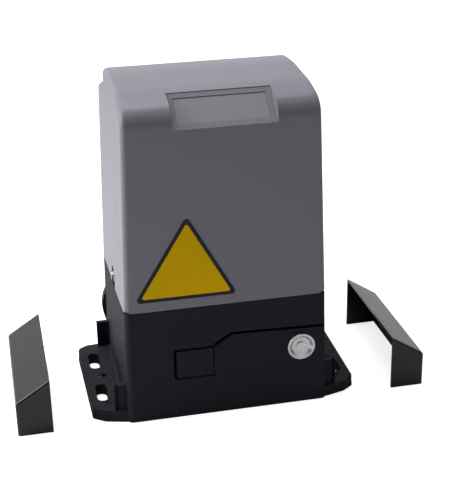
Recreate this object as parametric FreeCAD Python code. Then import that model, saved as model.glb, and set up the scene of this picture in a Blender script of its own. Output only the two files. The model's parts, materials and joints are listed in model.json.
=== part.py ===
"""Sliding gate motor: base with gearbox, motor, electronics, release lever, hood and foot-bolt covers.

Frame: X along the gate's travel, Y towards the rack behind the motor, Z up.
The origin is the centre of the body's footprint on the foundation. Millimetres.
"""
import FreeCAD
import Part

import math
import os

V = FreeCAD.Vector
X_AXIS = V(1, 0, 0)
Y_AXIS = V(0, 1, 0)
Z_AXIS = V(0, 0, 1)

# ---------------------------------------------------------------- driving dimensions
BODY_HALF_WIDTH = 106.0          # at the floor
BODY_HALF_DEPTH = 90.0
BODY_CORNER = 6.0
BASE_DRAFT = 0.0177              # sideways taper per mm of height
WALL = 5.0
FLOOR = 12.4                     # inside, level with the foot flange

SEAM_MID = 116.7                 # height of the joint between base and hood at y = 0
SEAM_SLOPE = -14.0 / 180.0       # it falls towards the back
SEAM_STEP = 3.4                  # the rear half lies higher
SEAM_REAR_SLOPE = -0.061
SEAM_GAP = 0.6

HOOD_HALF_WIDTH = 103.7          # at z = 126
HOOD_DRAFT = 0.0317
HOOD_DRAFT_START = 126.0
HOOD_WALL = 3.0
HOOD_EDGE = 5.5
HOOD_CORNER = 4.5                # rounding of the lower front corners

FLANGE_THICKNESS = 12.4
FLANGE_HALF_LENGTH = 142.3
FLANGE_REAR = 62.0
FLANGE_SKIRT = 0.4
ROOT_FILLET = 3.0                # hollow rounding where the flange meets the side
SLOT_X = 127.2
SLOT_Y = (-41.0, 30.0)
SLOT_WIDTH = 12.0
SLOT_LENGTH = 35.0
LEVELLING_X = 121.0
LEVELLING_Y = -5.0

POST_Y = (-79.2, 66.6)
POST_WIDTH = 5.6
POST_REACH = (118.2, 119.0)
POST_TOP = (41.0, 42.2)

SHAFT_X = -62.0                  # output shaft axis
SHAFT_Z = 50.0
SHAFT_R = 10.0
WORM_CENTRES = 48.0
WORM_X = SHAFT_X + WORM_CENTRES  # worm and motor axis
WORM_Y = 12.0
WHEEL_TEETH = 36
WHEEL_MODULE = 2.0
WHEEL_FACE = 14.0
WORM_PITCH = math.pi * WHEEL_MODULE
WORM_TURNS = 7
WORM_ROOT_R = 9.6
WORM_TIP_R = 14.0
RUN = 0.05                       # radial running clearance

RIM_R = 46.8                     # round rim on the rear wall, in front of the pinion
PINION_TEETH = 18
PINION_MODULE = 4.0
PINION_Y = (97.0, 121.0)

GEARBOX_RIGHT = 22.0
GEARBOX_FRONT = -36.0
GEARBOX_WALL = 6.0
GEARBOX_TOP = 104.0
GASKET = 1.0
LID = 7.0
LID_TOP = GEARBOX_TOP + GASKET + LID

PIN_X = -36.0                    # release lever hinge
PIN_Y = -80.0
PIN_R = 3.0
LEVER_BACK = -78.0
LEVER_LEFT = -53.8
LEVER_RIGHT = 103.0
LEVER_BOTTOM = 45.0
LEVER_KNEE = (5.0, 87.6)         # highest point of its upper edge
LEVER_RIGHT_TOP = 84.6
LEVER_TILT = 2.0                 # the top of its face lies this much deeper
HINGE_RIGHT = -14.2
HINGE_TOP = 75.6
GAP_LEFT = 2.6
GAP_BELOW = 0.2
GAP_ABOVE = 2.0
GAP_HINGE = 2.8
LIP_R = 5.0
POCKET_BACK = -76.0
CHEST_BACK = -50.0
BLOCK_BACK = -62.0
BLOCK_TOP = 100.0
CAM_SMALL = 8.0
CAM_THROW = 8.0
CAM_Z = (91.5, 97.5)
ROD_Z = 95.0
ROD_R = 4.0

LOCK_X = 78.0
LOCK_Z = 65.4
LOCK_FACE_R = 14.8
LOCK_FACE_Y = -91.4
LOCK_SEAT_Y = -88.2
TONGUE_Y = (-74.0, -71.0)
TONGUE_LENGTH = 27.0

COVER_WIDTH = 36.0               # foot-bolt covers
COVER_Y = (-87.4, 70.4)
COVER_INNER_HEIGHT = 60.0
COVER_OUTER_HEIGHT = 37.0
COVER_WALL = 2.5
COVER_LEFT_X = -182.5            # where the detached covers stand
COVER_RIGHT_X = 179.5

MOTOR_R = 52.0
STACK = (128.0, 178.0)
AIR_GAP = 0.6
ROTOR_R = 25.4

LIMIT_X = -63.0
LIMIT_Y = 76.0
LIMIT_Z = 136.0

parts = {}


# ---------------------------------------------------------------- helpers
def box(x0, x1, y0, y1, z0, z1):
    return Part.makeBox(x1 - x0, y1 - y0, z1 - z0, V(x0, y0, z0))


def rod(radius, start, length, axis=Z_AXIS):
    return Part.makeCylinder(radius, length, V(*start), axis)


def tube(outer, inner, start, length, axis=Z_AXIS):
    return rod(outer, start, length, axis).cut(rod(inner, start, length, axis))


def on_xy(level):
    return lambda u, v: V(u, v, level)


def on_xz(level):
    return lambda u, v: V(u, level, v)


def on_yz(level):
    return lambda u, v: V(level, u, v)


def outline(points, place):
    """Closed wire through (u, v, radius) corners, each rounded by its radius."""
    count = len(points)
    ends = []
    for i, (u, v, radius) in enumerate(points):
        here = V(u, v, 0)
        before = V(*points[i - 1][:2], 0) - here
        after = V(*points[(i + 1) % count][:2], 0) - here
        if radius <= 0:
            ends.append((here, None, here))
            continue
        half = before.getAngle(after) / 2
        back = radius / math.tan(half)
        before.normalize()
        after.normalize()
        middle = before + after
        middle.normalize()
        reach = radius / math.sin(half) - radius
        ends.append((here + before * back, here + middle * reach, here + after * back))
    edges = []
    for i, (start, mid, end) in enumerate(ends):
        if mid is not None:
            edges.append(Part.Arc(*[place(p.x, p.y) for p in (start, mid, end)]).toShape())
        following = ends[(i + 1) % count][0]
        if end.distanceToPoint(following) > 1e-6:
            edges.append(Part.LineSegment(place(end.x, end.y),
                                          place(following.x, following.y)).toShape())
    return Part.Wire(edges)


def slab(points, place, sweep):
    return Part.Face(outline(points, place)).extrude(sweep)


def rounded_rectangle(half_x, y0, y1, radius, level):
    corners = [(-half_x, y0, radius), (half_x, y0, radius), (half_x, y1, radius), (-half_x, y1, radius)]
    return outline(corners, on_xy(level))


def ring_of(shape, count, centre, axis):
    """The shape repeated evenly round an axis."""
    copies = []
    for i in range(count):
        copy = shape.copy()
        copy.rotate(centre, axis, 360.0 * i / count)
        copies.append(copy)
    return copies


def hex_socket(radius, start, depth, axis):
    """Hexagonal prism used to cut a socket."""
    hexagon = Part.Wire(Part.makePolygon([V(radius * math.cos(math.radians(60 * i)),
                                            radius * math.sin(math.radians(60 * i)), 0)
                                          for i in range(7)]))
    prism = Part.Face(hexagon).extrude(V(0, 0, depth))
    prism.Placement = FreeCAD.Placement(V(*start), FreeCAD.Rotation(Z_AXIS, axis))
    return prism


def cap_screw(radius, head_r, head, shank, seat, axis):
    """Socket cap screw whose head rests at seat and whose shank runs along axis."""
    point = V(*seat)
    back = axis * -1
    screw = Part.makeCylinder(head_r, head, point, back)
    screw = screw.fuse(Part.makeCylinder(radius, shank, point, axis)).removeSplitter()
    socket_start = point + back * (head + 0.1)
    return screw.cut(hex_socket(head_r * 0.5, socket_start, head * 0.6, axis))


def bearing(outer, inner, start, width, axis):
    """Sealed ball bearing: a ring with a shallow shield groove in each face."""
    body = tube(outer, inner, start, width, axis)
    middle = (outer + inner) / 2
    band = (outer - inner) * 0.22
    back = V(*start) - axis * 0.1
    front = V(*start) + axis * (width - 0.4)
    for at in (back, front):
        groove = Part.makeCylinder(middle + band, 0.5, at, axis)
        body = body.cut(groove.cut(Part.makeCylinder(middle - band, 0.5, at, axis)))
    return body


def tooth_gear(teeth, module, y0, y1, tip_r, root_r, tip_half, pitch_half, root_half, centre):
    """Gear disc with flat-sided teeth about a Y axis; a gap faces +X."""
    pitch_r = teeth * module / 2
    half_step = math.pi / teeth
    points = []
    for i in range(teeth):
        middle = 2 * half_step * i + half_step
        for radius, half in ((root_r, -root_half), (pitch_r, -pitch_half), (tip_r, -tip_half),
                             (tip_r, tip_half), (pitch_r, pitch_half), (root_r, root_half)):
            angle = middle + half / radius
            points.append(V(centre[0] + radius * math.cos(angle), y0,
                            centre[1] + radius * math.sin(angle)))
    wire = Part.makePolygon(points + [points[0]])
    return Part.Face(wire).extrude(V(0, y1 - y0, 0))


def save(name, shape):
    parts[name] = shape


def below_seam(offset=0.0):
    """Everything below the seam, raised by offset: a sloping line with a step halfway along."""
    middle = SEAM_MID + offset
    rear = middle + SEAM_STEP
    return slab([(-200, -50, 0), (200, -50, 0), (200, rear + 200 * SEAM_REAR_SLOPE, 0), (0, rear, 0),
                 (0, middle, 0), (-200, middle - 200 * SEAM_SLOPE, 0)], on_yz(-300), V(600, 0, 0))


# ---------------------------------------------------------------- base casting
def flange_plate(grow, height):
    """Foot flange: bowed front edge, straight sides and clipped rear corners."""
    front = [(-140.4 - grow, -70.6 - grow, 3), (-128.5, -80.2 - grow, 12), (-112, -84.9 - grow, 30),
             (-97, -88.6 - grow, 20)]
    rear = [(FLANGE_HALF_LENGTH + grow, FLANGE_REAR + grow, 10), (132, 69.3 + grow, 8),
            (118, 70.2 + grow, 12), (104, 73 + grow, 5)]
    front_right = [(-x, y, r) for x, y, r in reversed(front)]
    rear_left = [(-x, y, r) for x, y, r in reversed(rear)]
    return slab(front + front_right + rear + rear_left, on_xy(0), V(0, 0, height))


def root_fillet(side_sign):
    """Hollow rounding between the flange and the side wall, from post to post."""
    foot = BODY_HALF_WIDTH - BASE_DRAFT * FLANGE_THICKNESS
    r = ROOT_FILLET
    y0, y1 = POST_Y[0] + 1, POST_Y[1] - 1
    strip = box(foot - 2, foot + r, y0, y1, FLANGE_THICKNESS - 1, FLANGE_THICKNESS + r)
    strip = strip.cut(rod(r, (foot + r, y0 - 1, FLANGE_THICKNESS + r), y1 - y0 + 2, Y_AXIS))
    if side_sign < 0:
        strip = strip.mirror(V(0, 0, 0), X_AXIS)
    return strip


def drafted_block(half_width, draft, start, inset, z0, z1, corner):
    """Block with a rounded-rectangle plan that narrows sideways as it rises."""
    wires = []
    for z in (z0, z1):
        half = half_width - draft * (z - start) - inset
        wires.append(rounded_rectangle(half, -BODY_HALF_DEPTH + inset, BODY_HALF_DEPTH - inset,
                                       corner, z))
    return Part.makeLoft(wires, True, True)


def lever_outline():
    """Front view of the release lever."""
    return [(LEVER_LEFT, LEVER_BOTTOM, 2.0), (LEVER_RIGHT, LEVER_BOTTOM, 2.0),
            (LEVER_RIGHT, LEVER_RIGHT_TOP, 0.8), (*LEVER_KNEE, 6.0),
            (HINGE_RIGHT, HINGE_TOP, 0.5), (LEVER_LEFT, HINGE_TOP, 1.5)]


def pocket_edge():
    """Upper edge of the lever pocket: start of the slope, knee and right end."""
    return [(HINGE_RIGHT + 0.2, HINGE_TOP + GAP_HINGE), (LEVER_KNEE[0] - 0.6, LEVER_KNEE[1] + GAP_ABOVE),
            (LEVER_RIGHT + GAP_BELOW, LEVER_RIGHT_TOP + GAP_ABOVE)]


def lever_pocket():
    """Pocket for the lever; along its upper edge the body rolls over in a soft lip."""
    start, knee, end = pocket_edge()
    left = LEVER_LEFT - GAP_LEFT
    low = LEVER_BOTTOM - GAP_BELOW
    depth = V(0, POCKET_BACK + BODY_HALF_DEPTH, 0)
    pocket = slab([(left, low, 2.0), (end[0], low, 2.0), (*end, 0.3), (*knee, 6.0), (*start, 0),
                   (left, start[1], 1.5)], on_xz(-95), V(0, POCKET_BACK + 95, 0))
    wall = slab([(*start, 0), (*knee, 6.0), (*end, 0), (end[0], 115, 0), (start[0], 115, 0)],
                on_xz(-BODY_HALF_DEPTH), depth)
    rim = []
    for e in wall.Edges:
        if e.BoundBox.YMax < -BODY_HALF_DEPTH + 0.01 and e.BoundBox.ZMax < 100:
            rim.append(e)
    lip = wall.cut(wall.makeFillet(LIP_R, rim))
    return [pocket, lip]


def make_base():
    top = 140.0
    shell = drafted_block(BODY_HALF_WIDTH, BASE_DRAFT, 0, 0, 0, top, BODY_CORNER)
    cavity = drafted_block(BODY_HALF_WIDTH, BASE_DRAFT, 0, WALL, FLOOR, top + 5, BODY_CORNER - 3)
    base = shell.cut(cavity)
    base = base.fuse(flange_plate(0, FLANGE_THICKNESS)).fuse(flange_plate(FLANGE_SKIRT, 4.0))
    # front block that holds the lever pocket, and the deeper chest round its hinge
    side = BODY_HALF_WIDTH - WALL - 1
    base = base.fuse(box(-8, side, -87, BLOCK_BACK, 5, BLOCK_TOP))
    base = base.fuse(box(-64, -8, -87, CHEST_BACK, 5, BLOCK_TOP))
    # gearbox walls
    base = base.fuse(box(-side, GEARBOX_RIGHT, GEARBOX_FRONT, GEARBOX_FRONT + GEARBOX_WALL, 5, GEARBOX_TOP))
    base = base.fuse(box(GEARBOX_RIGHT - GEARBOX_WALL, GEARBOX_RIGHT, GEARBOX_FRONT, 87, 5, GEARBOX_TOP))
    for x, y in lid_screw_places():
        base = base.fuse(rod(6, (x, y, 84), GEARBOX_TOP - 84))
    base = base.fuse(rod(27, (SHAFT_X, GEARBOX_FRONT + 1, SHAFT_Z), 17, Y_AXIS))
    base = base.fuse(rod(27, (SHAFT_X, 70, SHAFT_Z), 17, Y_AXIS))
    base = base.fuse(rod(17, (WORM_X, WORM_Y, 5), 15))
    base = base.fuse(tube(RIM_R, RIM_R - 6.5, (SHAFT_X, 86, SHAFT_Z + 0.5), 10, Y_AXIS))
    base = base.common(below_seam())
    for side_sign in (-1, 1):
        for y in POST_Y:
            base = base.fuse(guide_post(side_sign, y))
        base = base.fuse(root_fillet(side_sign))
        tab = slab([(-12, 108, 2), (9, 108, 2), (5, 134.5, 4), (-5, 134.5, 4)],
                   on_yz(98.4 * side_sign), V(3.9 * side_sign, 0, 0))
        base = base.fuse(tab)
    base = base.removeSplitter()
    return cut_base(base)


def guide_post(side_sign, y):
    """Upright post beside the body, grooved down its front face."""
    at_rear = POST_Y.index(y)
    x1, top = POST_REACH[at_rear], POST_TOP[at_rear]
    front = y - POST_WIDTH / 2
    post = box(101.5, x1, front, y + POST_WIDTH / 2, 8, top)
    if at_rear:
        for i in range(4):
            start = x1 - 2.6 - 2.4 * i
            post = post.cut(box(start, start + 1.3, front - 1, front + 1.6, FLANGE_THICKNESS, top + 1))
    else:
        post = post.cut(box(x1 - 4.2, x1 - 1.4, front - 1, front + 3.2, FLANGE_THICKNESS, top + 1))
    if side_sign < 0:
        post = post.mirror(V(0, 0, 0), X_AXIS)
    return post


def lid_screw_places():
    return [(-95.5, -25.5), (11.5, -25.5), (11.5, 80), (-95.5, 80), (11.5, 40), (-95.5, 36)]


def cut_base(base):
    cuts = []
    for sign in (-1, 1):
        for y in SLOT_Y:
            half = (SLOT_LENGTH - SLOT_WIDTH) / 2
            r = SLOT_WIDTH / 2
            slot = box(sign * SLOT_X - r, sign * SLOT_X + r, y - half, y + half, -1, 20)
            cuts += [slot, rod(r, (sign * SLOT_X, y - half, -1), 21), rod(r, (sign * SLOT_X, y + half, -1), 21)]
        cuts.append(rod(5.0, (sign * LEVELLING_X, LEVELLING_Y, -1), 21))
        for i in range(3):
            y = -62.0 - 2.6 * i
            cuts.append(box(min(sign * 120.5, sign * 127), max(sign * 120.5, sign * 127), y, y + 1.1,
                            FLANGE_THICKNESS - 1.0, FLANGE_THICKNESS + 1))
    cuts += lever_pocket()
    cuts.append(box(-57.6, -13.5, -80, -58, LEVER_BOTTOM - GAP_BELOW, HINGE_TOP + GAP_HINGE))
    cuts.append(rod(PIN_R + RUN, (PIN_X, PIN_Y, 38), 70))
    cuts.append(box(-54, -17, -87, -58.5, 90.5, BLOCK_TOP + 1))
    cuts.append(box(PIN_X - 5.5, PIN_X + 5.5, -60, CHEST_BACK + 1, 90, BLOCK_TOP + 1))
    cuts.append(rod(ROD_R + RUN, (PIN_X, GEARBOX_FRONT - 1, ROD_Z), GEARBOX_WALL + 2, Y_AXIS))
    # behind the lock: room for its body, and the catch behind the lip for its tongue
    cuts.append(rod(16.5, (LOCK_X, -77, LOCK_Z), 11, Y_AXIS))
    catch = rod(30, (LOCK_X, -76.5, LOCK_Z), 8.5, Y_AXIS)
    cuts.append(catch.common(box(40, 92, -80, -60, 45, 110)))
    # bearing seats, shaft bore and seal seat
    cuts.append(rod(20, (SHAFT_X, -30, SHAFT_Z), 13, Y_AXIS))
    cuts.append(rod(21, (SHAFT_X, 69, SHAFT_Z), 12, Y_AXIS))
    cuts.append(rod(SHAFT_R + 0.6, (SHAFT_X, 80, SHAFT_Z), 12, Y_AXIS))
    cuts.append(rod(17, (SHAFT_X, 84, SHAFT_Z), 7, Y_AXIS))
    cuts.append(rod(13, (WORM_X, WORM_Y, 12), 9))
    cuts.append(rod(39.5, (SHAFT_X, WORM_Y - 9, SHAFT_Z), 18, Y_AXIS))
    for x, y in lid_screw_places():
        cuts.append(rod(2.1, (x, y, 92), 13))
    for sign in (-1, 1):
        cuts.append(rod(2.0, (sign * 96, 0, 127.5), 10, X_AXIS * sign))
    cuts.append(rod(15, (60, 66, -1), FLOOR + 2))
    cuts.append(rod(5, (GEARBOX_RIGHT - 7, 52, 62), 8, X_AXIS))
    cuts.append(rod(2.55, (86, 74, 3.5), 12))
    return base.cut(cuts)


# ---------------------------------------------------------------- hood
def hood_profile(inset, bottom):
    """Side view of the hood: crown, front bend, rear step and shelf."""
    front = -BODY_HALF_DEPTH + inset
    rear = BODY_HALF_DEPTH - inset
    step = 46.0 - inset
    slope = math.tan(math.radians(14))
    shelf = 8.2 / 36.0
    bend_z = 339.0 - inset - (-50 - front) * slope
    shelf_top = 324.2 - inset
    return [(front, bottom, 0), (front, bend_z, 22 - inset), (-50, 339.0 - inset, 120),
            (10, 343.4 - inset, 200), (step, 341.0 - inset, 7.5 - inset), (step, shelf_top, 2.5 + inset),
            (rear, shelf_top - shelf * (rear - step), 10 - inset), (rear, bottom, 0)]


def hood_block(inset, edge, bottom):
    """Solid hood form, moved inwards by inset, with rounded side edges."""
    solid = slab(hood_profile(inset, bottom), on_yz(-130), V(260, 0, 0))
    low, high = 60.0, 400.0
    halves = [HOOD_HALF_WIDTH - inset - HOOD_DRAFT * (z - HOOD_DRAFT_START) for z in (low, high)]
    wedge = slab([(-halves[0], low, 0), (halves[0], low, 0), (halves[1], high, 0), (-halves[1], high, 0)],
                 on_xz(-150), V(0, 300, 0))
    solid = solid.common(wedge)
    chain = []
    for e in solid.Edges:
        inner = e.BoundBox
        on_side = inner.XMin > 80 or inner.XMax < -80
        if on_side and inner.ZMax > bottom + 1:
            chain.append(e)
    return solid.makeFillet(edge, chain)


def pocket_cutter(depth, x0, x1, trim):
    """Space in front of the label facet, pushed inwards by depth."""
    top = V(0, -57.0, 336.6)
    foot = V(0, -91.0, 309.0)
    along = foot - top
    along.normalize()
    inward = V(0, -along.z, along.y) * -1
    if inward.y < 0:
        inward = inward * -1
    start = top + along * trim + inward * depth
    end = foot - along * (trim * 1.3) + inward * depth
    out = inward * -40
    points = [start, end, end + out, start + out]
    wire = Part.makePolygon([V(x0, p.y, p.z) for p in points + points[:1]])
    return Part.Face(wire).extrude(V(x1 - x0, 0, 0))


def lower_corner(side_sign):
    """Space that rounds off the lower tip of a front corner of the hood."""
    outward = V(side_sign, -1, 0)
    outward.normalize()
    across = V(1, side_sign, 0)
    across.normalize()
    centre = V(side_sign * (HOOD_HALF_WIDTH - HOOD_EDGE), -BODY_HALF_DEPTH + HOOD_EDGE, 0)
    tip = centre.dot(outward) + HOOD_EDGE
    r = HOOD_CORNER
    low = SEAM_MID + SEAM_GAP + SEAM_SLOPE * (HOOD_EDGE / 2 - BODY_HALF_DEPTH)
    start = across * -15

    def place(u, v):
        return outward * u + start + V(0, 0, v)

    square = slab([(tip - r, low - 3, 0), (tip + 3, low - 3, 0), (tip + 3, low + r, 0), (tip - r, low + r, 0)],
                  place, across * 30)
    return square.cut(Part.makeCylinder(r, 30, place(tip - r, low + r), across))


POCKET_X = (-49.0, 54.0)
FRAME_WIDTH = 6.0
PANEL_DEPTH = 1.6


def make_hood():
    bottom = 95.0
    outer = hood_block(0, HOOD_EDGE, bottom)
    inner = hood_block(HOOD_WALL, HOOD_EDGE - HOOD_WALL, bottom - 5)
    inner = inner.cut(pocket_cutter(5.0, POCKET_X[0] - 3, POCKET_X[1] + 3, -4.0))
    hood = outer.cut(inner)
    hood = hood.cut(below_seam(SEAM_GAP))
    hood = hood.cut([lower_corner(-1), lower_corner(1)])
    hood = hood.cut(pocket_cutter(0, *POCKET_X, 0.0))
    panel_x = (POCKET_X[0] + FRAME_WIDTH, POCKET_X[1] - FRAME_WIDTH)
    hood = hood.cut(pocket_cutter(PANEL_DEPTH, *panel_x, FRAME_WIDTH))
    for sign in (-1, 1):
        notch = slab([(-15, 100, 0), (11, 100, 0), (11, 124, 3), (5.5, 138.5, 5.4), (-6.5, 138.5, 5.4),
                      (-15, 124, 3)], on_yz(95 * sign), V(15 * sign, 0, 0))
        hood = hood.cut(notch)
    half = 17.0
    hood = hood.cut(slab([(LIMIT_X - half, 90, 0), (LIMIT_X + half, 90, 0), (LIMIT_X + half, 150, 6),
                          (LIMIT_X - half, 150, 6)], on_xz(80), V(0, 20, 0)))
    save("top_cover", hood)
    plate = pocket_cutter(PANEL_DEPTH, panel_x[0] + 0.3, panel_x[1] - 0.3, FRAME_WIDTH + 0.3)
    plate = plate.cut(pocket_cutter(PANEL_DEPTH - 0.9, panel_x[0] - 1, panel_x[1] + 1, 0))
    save("label_plate", plate)
    make_triangle()


def make_triangle():
    """Blank triangular sticker on the hood's front: dark border and plain field."""
    corners = [(-93.4, 134.8), (11.0, 134.8), (-38.2, 223.2)]
    cx = sum(c[0] for c in corners) / 3
    cz = sum(c[1] for c in corners) / 3
    thickness = 0.4
    front = -BODY_HALF_DEPTH - thickness
    inner = [(cx + (x - cx) * 0.875, cz + (z - cz) * 0.875, 2.0) for x, z in corners]
    outer = [(x, z, 3.5) for x, z in corners]
    ring = slab(outer, on_xz(front), V(0, thickness, 0))
    field = slab(inner, on_xz(front), V(0, thickness, 0))
    save("triangle_border", ring.cut(field))
    save("triangle_field", field)


def make_seal():
    outer = drafted_block(BODY_HALF_WIDTH, BASE_DRAFT, 0, 3.6, 90, 140, 4)
    inner = drafted_block(BODY_HALF_WIDTH, BASE_DRAFT, 0, 4.9, 90, 140, 3)
    band = outer.cut(inner).common(below_seam(4.5)).cut(below_seam())
    for sign in (-1, 1):
        band = band.cut(box(min(90 * sign, 110 * sign), max(90 * sign, 110 * sign), -16, 12, 100, 140))
    save("cover_seal", band)


# ---------------------------------------------------------------- gear train
def worm():
    thread_z0 = SHAFT_Z - (WORM_TURNS / 2) * WORM_PITCH
    helix = Part.makeHelix(WORM_PITCH, WORM_PITCH * WORM_TURNS, WORM_ROOT_R)
    root, tip = 1.3, 0.5
    profile = Part.makePolygon([V(WORM_ROOT_R - 0.8, 0, -root), V(WORM_TIP_R, 0, -tip), V(WORM_TIP_R, 0, tip),
                                V(WORM_ROOT_R - 0.8, 0, root), V(WORM_ROOT_R - 0.8, 0, -root)])
    thread = Part.Wire(helix.Edges).makePipeShell([Part.Wire(profile.Edges)], True, True)
    thread.translate(V(WORM_X, WORM_Y, thread_z0))
    core = rod(WORM_ROOT_R, (WORM_X, WORM_Y, 24), 52)
    shaft = rod(6, (WORM_X, WORM_Y, 12), 210)
    shoulder = rod(7.5, (WORM_X, WORM_Y, 20.5), 77)
    return shaft.fuse([core, shoulder, thread]).removeSplitter()


def make_gear_train():
    wheel_y = (WORM_Y - WHEEL_FACE / 2, WORM_Y + WHEEL_FACE / 2)
    wheel = tooth_gear(WHEEL_TEETH, WHEEL_MODULE, *wheel_y, 38.0, 33.5, 0.75, 1.3, 1.7, (SHAFT_X, SHAFT_Z))
    wheel = wheel.fuse(rod(17, (SHAFT_X, wheel_y[0] - 3, SHAFT_Z), WHEEL_FACE + 3, Y_AXIS))
    dog = box(SHAFT_X + 12.5, SHAFT_X + 18, wheel_y[1] - 1, wheel_y[1] + 5, SHAFT_Z - 3, SHAFT_Z + 3)
    wheel = wheel.fuse(ring_of(dog, 4, V(SHAFT_X, 0, SHAFT_Z), Y_AXIS))
    relief = tube(30, 19.5, (SHAFT_X, wheel_y[0] - 0.5, SHAFT_Z), 3.5, Y_AXIS)
    holes = ring_of(rod(4.5, (SHAFT_X + 25, wheel_y[0] - 1, SHAFT_Z), 20, Y_AXIS), 6,
                    V(SHAFT_X, 0, SHAFT_Z), Y_AXIS)
    wheel = wheel.cut([relief, rod(SHAFT_R, (SHAFT_X, -20, SHAFT_Z), 60, Y_AXIS)] + holes)
    save("worm_wheel", wheel.removeSplitter())
    save("worm_shaft", worm())
    save("output_shaft", output_shaft())
    save("clutch_collar", clutch_collar(wheel_y[1]))
    save("shift_fork", shift_fork())
    save("output_bearing_front", bearing(20, SHAFT_R, (SHAFT_X, -30, SHAFT_Z), 12, Y_AXIS))
    save("output_bearing_rear", bearing(21, SHAFT_R, (SHAFT_X, 69, SHAFT_Z), 12, Y_AXIS))
    save("output_seal", tube(17, SHAFT_R + 0.4, (SHAFT_X, 84, SHAFT_Z), 6, Y_AXIS))
    save("worm_bearing_lower", bearing(13, 6, (WORM_X, WORM_Y, 12), 8, Z_AXIS))
    save("worm_bearing_upper", bearing(13, 6, (WORM_X, WORM_Y, 98), 9, Z_AXIS))


def output_shaft():
    shaft = rod(SHAFT_R, (SHAFT_X, -29, SHAFT_Z), 150, Y_AXIS)
    splines = ring_of(box(SHAFT_X + 8, SHAFT_X + 12, 19.2, 52, SHAFT_Z - 2, SHAFT_Z + 2), 6,
                      V(SHAFT_X, 0, SHAFT_Z), Y_AXIS)
    shaft = shaft.fuse(splines).fuse(rod(13, (SHAFT_X, 56, SHAFT_Z), 12.5, Y_AXIS))
    keyway = box(SHAFT_X - 3, SHAFT_X + 3, PINION_Y[0] + 2, PINION_Y[1] + 1, SHAFT_Z + 6.5, SHAFT_Z + 12)
    thread = rod(3.4, (SHAFT_X, 104, SHAFT_Z), 18, Y_AXIS)
    return shaft.removeSplitter().cut([keyway, thread])


CLUTCH_START = 21.0
CLUTCH_LENGTH = 17.0


def clutch_collar(wheel_face):
    """Sliding dog collar with a fork groove and a splined bore."""
    ring = rod(20, (SHAFT_X, CLUTCH_START, SHAFT_Z), CLUTCH_LENGTH, Y_AXIS)
    groove = tube(21, 14, (SHAFT_X, CLUTCH_START + 8, SHAFT_Z), 5, Y_AXIS)
    bore = rod(SHAFT_R + RUN, (SHAFT_X, CLUTCH_START - 1, SHAFT_Z), 30, Y_AXIS)
    slots = ring_of(box(SHAFT_X + 8, SHAFT_X + 12.2, CLUTCH_START - 1, CLUTCH_START + 30,
                        SHAFT_Z - 2.2, SHAFT_Z + 2.2), 6, V(SHAFT_X, 0, SHAFT_Z), Y_AXIS)
    pocket = box(SHAFT_X + 11.6, SHAFT_X + 19, CLUTCH_START - 1, CLUTCH_START + 4.5, SHAFT_Z - 3.6, SHAFT_Z + 3.6)
    pockets = ring_of(pocket, 4, V(SHAFT_X, 0, SHAFT_Z), Y_AXIS)
    return ring.cut([groove, bore] + slots + pockets).removeSplitter()


def shift_fork():
    """Push rod with a pointed nose, and the fork plate that carries the collar."""
    nose = PIN_Y + CAM_SMALL + 0.9
    plate_y = CLUTCH_START + 8.5
    push = rod(ROD_R, (PIN_X, nose + 4, ROD_Z), plate_y + 4 - nose - 4, Y_AXIS)
    tip = Part.makeCone(1.0, ROD_R, 4, V(PIN_X, nose, ROD_Z), Y_AXIS)
    arm = slab([(PIN_X + 5, ROD_Z + 5, 3), (PIN_X - 9, ROD_Z + 5, 3), (SHAFT_X - 24, SHAFT_Z + 16, 6),
                (SHAFT_X - 24, SHAFT_Z - 3, 3), (SHAFT_X + 24, SHAFT_Z - 3, 3), (PIN_X + 5, 80, 4)],
               on_xz(plate_y), V(0, 4, 0))
    mouth = rod(14.6, (SHAFT_X, plate_y - 1, SHAFT_Z), 6, Y_AXIS)
    mouth = mouth.fuse(box(SHAFT_X - 14.6, SHAFT_X + 14.6, plate_y - 1, plate_y + 5, SHAFT_Z - 10, SHAFT_Z))
    return push.fuse([tip, arm.cut(mouth)]).removeSplitter()


def make_pinion():
    y0, y1 = PINION_Y
    wheel = tooth_gear(PINION_TEETH, PINION_MODULE, y0, y1, 40.0, 31.0, 1.5, 3.1, 4.2, (SHAFT_X, SHAFT_Z))
    wheel = wheel.fuse(rod(20, (SHAFT_X, y0 - 4, SHAFT_Z), 5, Y_AXIS))
    key_slot = box(SHAFT_X - 3, SHAFT_X + 3, y0 - 5, y1 + 1, SHAFT_Z + 5, SHAFT_Z + 13)
    recess = tube(28, 19, (SHAFT_X, y1 - 3, SHAFT_Z), 4, Y_AXIS)
    wheel = wheel.cut([rod(SHAFT_R, (SHAFT_X, y0 - 5, SHAFT_Z), 40, Y_AXIS), key_slot, recess])
    save("drive_pinion", wheel.removeSplitter())
    save("pinion_key", box(SHAFT_X - 3, SHAFT_X + 3, y0 + 2, y1, SHAFT_Z + 6.5, SHAFT_Z + 12.5))
    save("pinion_washer", tube(16, 3.6, (SHAFT_X, y1, SHAFT_Z), 2, Y_AXIS))
    bolt = rod(3.3, (SHAFT_X, 105, SHAFT_Z), y1 + 2.2 - 105, Y_AXIS)
    head = hex_socket(6.5, (SHAFT_X, y1 + 2, SHAFT_Z), 4.5, Y_AXIS)
    save("pinion_bolt", bolt.fuse(head).removeSplitter())


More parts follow.
